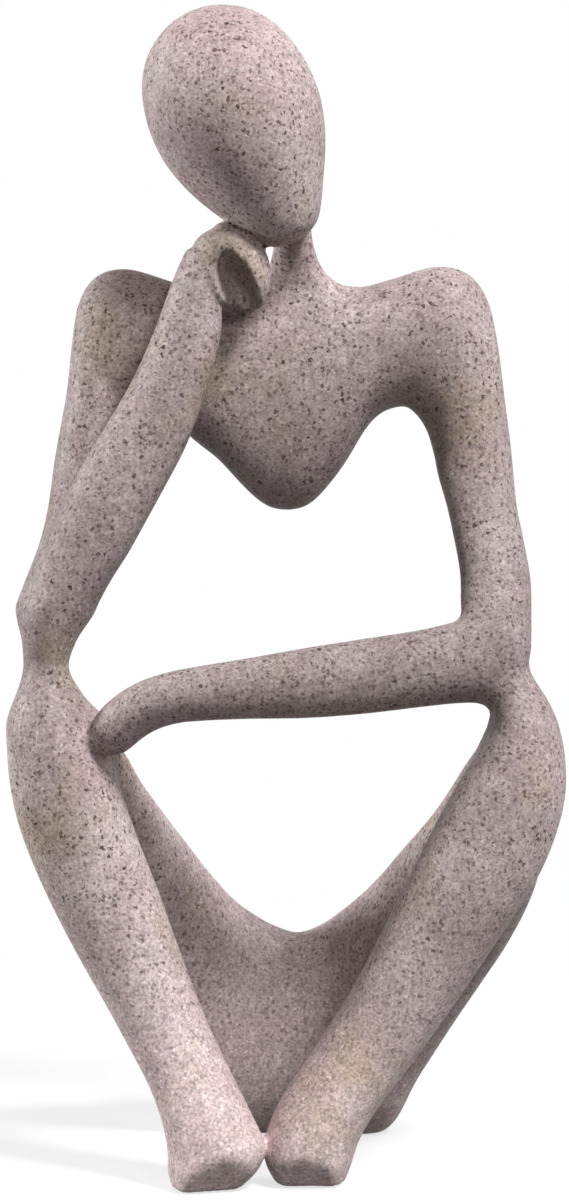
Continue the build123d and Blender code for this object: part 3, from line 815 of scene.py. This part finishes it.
    @staticmethod
    def sample(values: np.ndarray, points: np.ndarray) -> np.ndarray:
        """Reads a field between the grid's points."""
        base = np.floor(points).astype(int)
        base = np.minimum(base, np.array(values.shape) - 2)
        t = points - base
        total = np.zeros(len(points))
        for i in (0, 1):
            for j in (0, 1):
                for k in (0, 1):
                    weight = np.abs((1 - i - t[:, 0]) * (1 - j - t[:, 1]) * (1 - k - t[:, 2]))
                    total += weight * values[base[:, 0] + i, base[:, 1] + j, base[:, 2] + k]
        return total

    def pieces(self) -> dict[Casting, tuple[np.ndarray, np.ndarray, list[list[int]], int]]:
        """Cuts the surface into closed pieces.

        Returns:
            For each casting its points, their normals, its faces, and how many of them are skin.
        """
        values, owner = self.fields()
        points, normals, quads = self.surface(values)
        nearest = np.rint((points - np.array(self.low)) / self.pitch).astype(int)
        of_point = owner[tuple(nearest.T)]
        of_quad = self.tidied(of_point[quads[:, 0]].astype(int), quads)
        made = {}
        for number, casting in enumerate(CASTINGS):
            own = quads[of_quad == number]
            if len(own):
                made[casting] = self.closed(points, normals, own)
        return made

    @staticmethod
    def tidied(of_quad: np.ndarray, quads: np.ndarray, rounds: int = 12) -> np.ndarray:
        """Evens out the castings' borders and clears stray specks, by what most neighbours are."""
        size = quads.max() + 1
        for _ in range(rounds):
            votes = np.zeros((size, len(CASTINGS)), np.int32)
            for i in range(4):
                np.add.at(votes, (quads[:, i], of_quad), 1)
            of_quad = votes[quads].sum(axis=1).argmax(axis=1)
        return of_quad

    def closed(self, points: np.ndarray, normals: np.ndarray, quads: np.ndarray
               ) -> tuple[np.ndarray, np.ndarray, list[list[int]], int]:
        """Closes one piece of skin with a wall going inwards from its border and a cap inside.

        Args:
            points: All points of the surface.
            normals: Their outward normals.
            quads: The piece's own quads.

        Returns:
            The piece's points, their normals, its faces, and how many of them are skin.
        """
        used, local = np.unique(quads, return_inverse=True)
        quads = local.reshape(quads.shape)
        own, facing = points[used], normals[used]
        edges = np.vstack([quads[:, [i, (i + 1) % 4]] for i in range(4)])
        keys = {(int(a), int(b)) for a, b in edges}
        border = [(a, b) for a, b in keys if (b, a) not in keys]
        faces = quads.tolist()
        skin = len(faces)
        group = {v: v for edge in border for v in edge}

        def root(v: int) -> int:
            """The first point of the border that holds v."""
            while group[v] != v:
                group[v] = group[group[v]]
                v = group[v]
            return v

        for a, b in border:
            group[root(a)] = root(b)
        rim, hubs = list(group), {}
        inner = {v: len(own) + i for i, v in enumerate(rim)}
        for v in rim:
            hubs.setdefault(root(v), []).append(v)
        hub_at = {first: len(own) + len(rim) + i for i, first in enumerate(hubs)}
        for a, b in border:
            faces.append([b, a, inner[a], inner[b]])
            faces.append([inner[b], inner[a], hub_at[root(a)]])
        if rim:
            turned = own - facing * self.wall
            middles = [turned[members].mean(axis=0) for members in hubs.values()]
            own = np.vstack([own, turned[rim], middles])
            facing = np.vstack([facing, facing[rim], [(0.0, 0.0, 1.0)] * len(hubs)])
        return own, facing, faces, skin


@dataclass(frozen=True)
class Clouds:
    """A noise, ramped between two values.

    Attributes:
        scale: Its cells to the metre.
        detail: How many finer layers it has.
        low: The share of the noise where the ramp starts.
        high: The share where it ends.
        a: The value at the ramp's start.
        b: The value at its end.
        roughness: How strong its finer layers are.
    """

    scale: float
    detail: float
    low: float
    high: float
    a: float
    b: float
    roughness: float = 0.55


@dataclass(frozen=True)
class Grains:
    """Crisp, ragged grains, at most one to a cell.

    Attributes:
        spacing: The size of a cell, in metres.
        low: The reach of the smallest grain, as a share of the spacing. Below zero there is none.
        high: The reach of the largest.
        strength: How much the strongest grains cover.
        weakest: How much the weakest cover, as a share of that.
        bends: How many bends their edges have to a cell.
        edge: How wide their edges are, as a share of the spacing.
    """

    spacing: float
    low: float
    high: float
    strength: float
    weakest: float = 0.6
    bends: float = 1.7
    edge: float = 0.07


class Nodes:
    """A short way to add and join the nodes of one material or world."""

    def __init__(self, holder: bpy.types.Material | bpy.types.World) -> None:
        """Empties the material's or world's nodes."""
        self.holder = holder
        holder.use_nodes = True
        self.tree = holder.node_tree
        self.tree.nodes.clear()

    def join(self, value: object, socket: bpy.types.NodeSocket) -> None:
        """Puts a value, or another node's output, into a socket."""
        if isinstance(value, bpy.types.NodeSocket):
            self.tree.links.new(value, socket)
        else:
            socket.default_value = value

    def add(self, kind: str, inputs: dict[str | int, object], **settings: object) -> bpy.types.Node:
        """Adds one node.

        Args:
            kind: The node's type.
            inputs: What goes into its sockets: a value, or another node's output socket.
            **settings: The node's own properties.

        Returns:
            The node.
        """
        node = self.tree.nodes.new(kind)
        for name, value in settings.items():
            setattr(node, name, value)
        for name, value in inputs.items():
            self.join(value, node.inputs[name])
        return node

    def place(self) -> bpy.types.NodeSocket:
        """The Object coordinates."""
        return self.add("ShaderNodeTexCoord", {}).outputs["Object"]

    def math(self, operation: str, a: object, b: object) -> bpy.types.NodeSocket:
        """One sum of two numbers."""
        return self.add("ShaderNodeMath", {0: a, 1: b}, operation=operation).outputs[0]

    def spread(self, value: bpy.types.NodeSocket, low: object, high: object, start: float = 0.0,
               end: float = 1.0) -> bpy.types.NodeSocket:
        """Turns a value between start and end into one between low and high."""
        return self.add("ShaderNodeMapRange", {"Value": value, "From Min": start, "From Max": end,
                                               "To Min": low, "To Max": high}).outputs["Result"]

    def seen(self) -> bpy.types.NodeSocket:
        """1 for rays from the camera, off metal and through glass, and 0 for the rest."""
        path = self.add("ShaderNodeLightPath", {}).outputs
        either = self.math("MAXIMUM", path["Is Camera Ray"], path["Is Glossy Ray"])
        return self.math("MAXIMUM", either, path["Is Transmission Ray"])

    def ramp(self, factor: bpy.types.NodeSocket, stops: tuple[tuple[float, float], ...]
             ) -> bpy.types.NodeSocket:
        """Turns a factor into a grey through stops of position and value."""
        node = self.add("ShaderNodeValToRGB", {"Fac": factor})
        elements = node.color_ramp.elements
        while len(elements) < len(stops):
            elements.new(0.5)
        for element, (position, value) in zip(elements, stops):
            element.position = position
            element.color = (value, value, value, 1)
        return node.outputs["Color"]

    def mix(self, factor: object, a: object, b: object, blend: str = "MIX") -> bpy.types.NodeSocket:
        """Mixes two colours by a factor."""
        node = self.add("ShaderNodeMix", {}, data_type="RGBA", blend_type=blend)
        for index, value in ((0, factor), (6, a), (7, b)):
            self.join(value, node.inputs[index])
        return node.outputs[2]

    def multiply(self, a: object, b: object) -> bpy.types.NodeSocket:
        """Multiplies two colours."""
        return self.mix(1.0, a, b, "MULTIPLY")

    def clouds(self, place: bpy.types.NodeSocket, look: Clouds) -> bpy.types.NodeSocket:
        """Draws clouds of that look."""
        noise = self.add("ShaderNodeTexNoise", {"Vector": place, "Scale": look.scale,
                                                "Detail": look.detail, "Roughness": look.roughness})
        return self.ramp(noise.outputs["Fac"], ((look.low, look.a), (look.high, look.b)))

    def grains(self, place: bpy.types.NodeSocket, look: Grains) -> bpy.types.NodeSocket:
        """Draws how much grains of that look cover."""
        size = look.spacing
        ragged = self.add("ShaderNodeTexNoise", {
            "Vector": place, "Scale": look.bends / size, "Detail": 1})
        moved = self.add("ShaderNodeVectorMath", {
            0: ragged.outputs["Color"], 1: (size,) * 3, 2: place}, operation="MULTIPLY_ADD").outputs[0]
        cells = self.add("ShaderNodeTexVoronoi", {"Vector": moved, "Scale": 1 / size})
        chance = self.add("ShaderNodeSeparateColor", {0: cells.outputs["Color"]}).outputs
        reach = self.spread(chance[0], look.low, look.high)
        cover = self.spread(chance[1], look.strength * look.weakest, look.strength)
        inside = self.math("SUBTRACT", reach, cells.outputs["Distance"])
        return self.spread(inside, 0.0, cover, end=look.edge)


@dataclass(frozen=True)
class Sandstone:
    """Sandstone resin: cloudy pinkish grey, peppered with brown and pale grains under a satin coat.

    Attributes:
        painted_light_height: The height, in metres, that the positions of the painted light and
            shade are shares of.
        painted_light_by_height: Painted light and shade, a factor on the colour by height: paler
            at the feet and lower shins where light falls, darker in a band at the forearms' and
            elbows' height where shade falls.
        sparse_heights: Between which heights, in metres, the dark grains thin out downwards.
        sparse_share: How much of them is left below.
        relief: The size of the surface's bumps in cells to the metre, their strength and their height
            in metres.
        specular: How much the satin coat shines.
    """

    pale: Colour = (0.515, 0.423, 0.418, 1)
    mid: Colour = (0.435, 0.34, 0.336, 1)
    ochre: Colour = (0.41, 0.32, 0.225, 1)
    mauve: Colour = (0.38, 0.27, 0.29, 1)
    brown: Colour = (0.035, 0.02, 0.019, 1)
    maroon: Colour = (0.10, 0.05, 0.043, 1)
    chalk: Colour = (0.74, 0.68, 0.665, 1)
    pale_clouds: Clouds = Clouds(48, 3, 0.40, 0.62, 0, 1)
    ochre_clouds: Clouds = Clouds(33, 3, 0.53, 0.68, 0, 0.6)
    mauve_clouds: Clouds = Clouds(41, 3, 0.53, 0.70, 0, 0.55)
    mottle: Clouds = Clouds(420, 3, 0.34, 0.66, 0.84, 1.12)
    grit: Clouds = Clouds(1500, 2, 0.30, 0.70, 0.62, 1.32)
    grain_clouds: Clouds = Clouds(75, 2, 0.36, 0.60, 0.85, 1)
    gloss_clouds: Clouds = Clouds(700, 2, 0.3, 0.7, 0.48, 0.67)
    chalk_grains: Grains = Grains(0.0014, -0.2, 0.36, 0.6)
    maroon_grains: Grains = Grains(0.0011, 0.0, 0.5, 0.85)
    brown_grains: Grains = Grains(0.0015, -0.02, 0.38, 1.0)
    painted_light_height: float = 0.25
    # Painted light and shade by height: paler feet and lower shins, darker band at the forearms'
    # height.
    painted_light_by_height: tuple[tuple[float, float], ...] = (
        (0.0, 1.55), (0.08, 1.4), (0.20, 1.05), (0.37, 1.0), (0.44, 0.70), (0.56, 0.66), (0.70, 0.83),
        (1.0, 1.02))
    sparse_heights: tuple[float, float] = (0.005, 0.075)
    sparse_share: float = 0.35
    relief: tuple[float, float, float] = (1200, 0.3, 0.0003)
    specular: float = 0.22

    def material(self) -> bpy.types.Material:
        """Builds the material, which reads Object coordinates."""
        nodes = Nodes(bpy.data.materials.new("sandstone_resin"))
        place = nodes.place()
        base = nodes.mix(nodes.clouds(place, self.pale_clouds), self.mid, self.pale)
        base = nodes.mix(nodes.clouds(place, self.ochre_clouds), base, self.ochre)
        base = nodes.mix(nodes.clouds(place, self.mauve_clouds), base, self.mauve)
        base = nodes.multiply(base, nodes.clouds(place, self.mottle))
        base = nodes.multiply(base, nodes.clouds(place, self.grit))
        base = nodes.mix(nodes.grains(place, self.chalk_grains), base, self.chalk)
        height = nodes.add("ShaderNodeSeparateXYZ", {0: place}).outputs[2]
        # Painted light and shade: the colour is made paler low down and darker at the forearms'
        # height.
        share = nodes.math("MULTIPLY", height, 1 / self.painted_light_height)
        base = nodes.multiply(base, nodes.ramp(share, self.painted_light_by_height))
        sparse = nodes.spread(height, self.sparse_share, 1.0, *self.sparse_heights)
        cover = nodes.multiply(nodes.clouds(place, self.grain_clouds), sparse)
        for look, colour in ((self.maroon_grains, self.maroon), (self.brown_grains, self.brown)):
            base = nodes.mix(nodes.multiply(nodes.grains(place, look), cover), base, colour)
        scale, strength, rise = self.relief
        relief = nodes.add("ShaderNodeTexNoise", {"Vector": place, "Scale": scale, "Detail": 2})
        bump = nodes.add("ShaderNodeBump", {"Height": relief.outputs["Fac"], "Strength": strength,
                                            "Distance": rise})
        shader = nodes.add("ShaderNodeBsdfPrincipled", {
            "Base Color": base, "Roughness": nodes.clouds(place, self.gloss_clouds),
            "Normal": bump.outputs["Normal"], "Specular IOR Level": self.specular})
        nodes.add("ShaderNodeOutputMaterial", {"Surface": shader.outputs["BSDF"]})
        return nodes.holder


@dataclass(frozen=True)
class DowelSteel:
    """Plain drawn steel, faintly mottled."""

    pale: Colour = (0.56, 0.57, 0.58, 1)
    dark: Colour = (0.47, 0.48, 0.5, 1)
    roughness: tuple[float, float] = (0.24, 0.42)
    mottle_scale: float = 900

    def material(self) -> bpy.types.Material:
        """Builds the material."""
        nodes = Nodes(bpy.data.materials.new("dowel_steel"))
        noise = nodes.add("ShaderNodeTexNoise", {
            "Vector": nodes.place(), "Scale": self.mottle_scale, "Detail": 3})
        shade = noise.outputs["Fac"]
        shader = nodes.add("ShaderNodeBsdfPrincipled", {
            "Base Color": nodes.mix(shade, self.pale, self.dark),
            "Roughness": nodes.spread(shade, *self.roughness), "Metallic": 1.0})
        nodes.add("ShaderNodeOutputMaterial", {"Surface": shader.outputs["BSDF"]})
        return nodes.holder


def put(name: str, data: bpy.types.ID) -> bpy.types.Object:
    """Puts a mesh, lamp or camera into the scene as an object of that name."""
    thing = bpy.data.objects.new(name, data)
    bpy.context.scene.collection.objects.link(thing)
    return thing


@dataclass
class Figure:
    """The whole figure in the frame: its skin, cut into castings, and its dowels' finish."""

    joints: Joints = field(default_factory=Joints)
    stone: Sandstone = field(default_factory=Sandstone)
    steel: DowelSteel = field(default_factory=DowelSteel)

    def offset(self) -> np.ndarray:
        """How far the frame's origin lies from the body's mid-plane, in millimetres.

        It is read off a shoulder's dowel.
        """
        low, high = (np.array(corner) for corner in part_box("resting_shoulder_dowel"))
        return (low + high) / 2 / MM - np.array(self.joints.resting_shoulder)

    def build(self) -> None:
        """Builds every casting's piece of skin and dresses the dowels."""
        stone = self.stone.material()
        offset = self.offset()
        for casting, (points, normals, faces, skin) in Skin(self.joints).pieces().items():
            piece = self.piece(casting, (points + offset) * MM, normals, faces, skin)
            piece.data.materials.append(stone)
            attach(piece, "root")
            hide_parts(casting.value)
            LOG.info("%s: %d faces", piece.name, len(faces))
        steel = self.steel.material()
        for name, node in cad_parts.items():
            if name.endswith("_dowel"):
                node.data.materials.clear()
                node.data.materials.append(steel)

    @staticmethod
    def piece(casting: Casting, points: np.ndarray, normals: np.ndarray, faces: list[list[int]],
              skin: int) -> bpy.types.Object:
        """Makes one closed piece whose skin is smooth across its borders.

        Args:
            casting: The casting that it stands for.
            points: Its points in metres.
            normals: The skin's normals at the points.
            faces: Its faces.
            skin: How many of the faces, counted from the first, are skin.

        Returns:
            The new object.
        """
        mesh = bpy.data.meshes.new(f"{casting.value}_skin")
        mesh.from_pydata(points.tolist(), [], faces)
        corners = np.zeros((len(mesh.loops), 3))
        used = sum(len(face) for face in faces[:skin])
        index = np.array([v for face in faces[:skin] for v in face])
        corners[:used] = normals[index]
        mesh.shade_smooth()
        mesh.normals_split_custom_set(corners.tolist())
        mesh.validate()
        return put(mesh.name, mesh)


@dataclass(frozen=True)
class Lamp:
    """A soft square lamp, told from the point that all lamps are aimed at.

    Attributes:
        name: Its name.
        turn: Its bearing from the camera's own, in degrees towards the right.
        rise: Its height above the point, in degrees.
        far: How far it is from the point, in metres.
        power: Its power in watts.
    """

    name: str
    turn: float
    rise: float
    far: float
    power: float


@dataclass
class Studio:
    """The floor, the lights and the camera.

    Attributes:
        distance: How far the camera is from the body's middle, in millimetres.
        azimuth: How far it stands to the figure's left, in degrees.
        height: How high it stands, in millimetres.
        pixel: The size that one pixel of the image shows at that distance, in millimetres.
        image: The image's width and height in pixels.
        horizon: The pixel that shows what is straight ahead of the camera, level with it.
        lamps: The lamps.
        lamp_share: A lamp's width, as a share of how far it is.
        aim_height: How far above the floor the lamps are aimed, in metres.
        floor_reach: How far the floor goes each way, in metres.
        floor_gap: How far it lies under the figure, in metres.
        floor_colour: What the floor sends back as light.
        shadow_share: How much of the figure's shadow the floor keeps close by.
        shadow_fade: Between which distances, in metres, the shadow fades out.
        world_strength: How strongly the surroundings light the figure.
    """

    distance: float = 800.0
    azimuth: float = 6.0
    height: float = 165.0
    pixel: float = 0.2275
    image: tuple[int, int] = (569, 1200)
    horizon: tuple[float, float] = (278.0, 435.7)
    lamps: tuple[Lamp, ...] = (
        Lamp("left_rim", -96, 14, 1.0, 9.5),
        Lamp("key", 40, 50, 2.0, 50.0),
        Lamp("front", 15, 25, 1.5, 5.0),
        Lamp("right_rim", 100, 15, 1.0, 1.5),
    )
    lamp_share: float = 0.22
    aim_height: float = 0.13
    floor_reach: float = 3.0
    floor_gap: float = 0.0004
    floor_colour: Colour = (0.1, 0.1, 0.1, 1)
    shadow_share: float = 0.28
    shadow_fade: tuple[float, float] = (0.1, 0.32)
    world_strength: float = 0.06

    def camera(self, offset: np.ndarray) -> None:
        """Places the camera where the photograph was taken from.

        Args:
            offset: The frame's offset from the body's mid-plane, in millimetres.
        """
        turn = math.radians(self.azimuth)
        focal = self.distance / self.pixel
        data = bpy.data.cameras.new("camera")
        data.sensor_fit = "VERTICAL"
        data.sensor_height = 24.0
        data.lens = focal / self.image[1] * data.sensor_height
        data.clip_start = 0.05
        camera = put("camera", data)
        place = np.array([self.distance * math.sin(turn), -self.distance * math.cos(turn),
                          self.height])
        camera.location = ((place + offset) * MM).tolist()
        down = math.atan((self.image[1] / 2 - self.horizon[1]) / focal)
        aside = math.atan((self.image[0] / 2 - self.horizon[0]) / focal)
        camera.rotation_euler = (math.radians(90) - down, 0, turn - aside)
        bpy.context.scene.camera = camera

    def light(self, lamp: Lamp) -> None:
        """Adds one lamp."""
        data = bpy.data.lights.new(lamp.name, "AREA")
        data.shape = "SQUARE"
        data.size = self.lamp_share * lamp.far
        data.energy = lamp.power
        yaw, pitch = math.radians(self.azimuth + lamp.turn), math.radians(lamp.rise)
        flat = math.cos(pitch)
        away = np.array([math.sin(yaw) * flat, -math.cos(yaw) * flat, math.sin(pitch)])
        light = put(lamp.name, data)
        light.location = (away * lamp.far + (0, 0, self.aim_height)).tolist()
        light.rotation_euler = (math.pi / 2 - pitch, 0, yaw)

    def floor(self) -> None:
        """Lays a plain pale floor that keeps the figure's shadow and fades into the background."""
        mesh = bpy.data.meshes.new("floor")
        corners = ((-1, -1), (1, -1), (1, 1), (-1, 1))
        mesh.from_pydata([(x * self.floor_reach, y * self.floor_reach, -self.floor_gap)
                          for x, y in corners], [], [(0, 1, 2, 3)])
        nodes = Nodes(bpy.data.materials.new("floor_paper"))
        away = nodes.add("ShaderNodeVectorMath", {0: nodes.place()}, operation="LENGTH")
        paper = nodes.add("ShaderNodeBsdfDiffuse", {"Color": self.floor_colour})
        lit = nodes.add("ShaderNodeBsdfDiffuse", {"Color": WHITE})
        white = nodes.add("ShaderNodeEmission", {"Color": WHITE, "Strength": 1.0})
        seen = nodes.add("ShaderNodeMixShader", {
            0: nodes.spread(away.outputs["Value"], self.shadow_share, 0.0, *self.shadow_fade),
            1: white.outputs["Emission"], 2: lit.outputs["BSDF"]})
        shown = nodes.add("ShaderNodeMixShader", {
            0: nodes.seen(), 1: paper.outputs["BSDF"], 2: seen.outputs["Shader"]})
        nodes.add("ShaderNodeOutputMaterial", {"Surface": shown.outputs["Shader"]})
        mesh.materials.append(nodes.holder)
        floor = put("floor", mesh)

    def world(self) -> None:
        """Sets a white background that lights the figure only gently."""
        nodes = Nodes(bpy.data.worlds.new("studio"))
        light, white = (nodes.add("ShaderNodeBackground", {"Color": WHITE, "Strength": strength})
                        for strength in (self.world_strength, 1.0))
        shown = nodes.add("ShaderNodeMixShader", {
            0: nodes.seen(), 1: light.outputs[0], 2: white.outputs[0]})
        nodes.add("ShaderNodeOutputWorld", {"Surface": shown.outputs[0]})
        bpy.context.scene.world = nodes.holder

    def build(self, offset: np.ndarray) -> None:
        """Sets up the whole studio.

        Args:
            offset: The frame's offset from the body's mid-plane, in millimetres.
        """
        self.camera(offset)
        self.floor()
        self.world()
        for lamp in self.lamps:
            self.light(lamp)
        bpy.context.scene.view_settings.view_transform = "Standard"


def main() -> None:
    """Builds the figure and its studio."""
    logging.basicConfig(level=logging.INFO, format="%(name)s: %(message)s")
    figure = Figure()
    figure.build()
    Studio().build(figure.offset())
    bpy.context.view_layer.update()


if __name__ == "__main__":
    main()
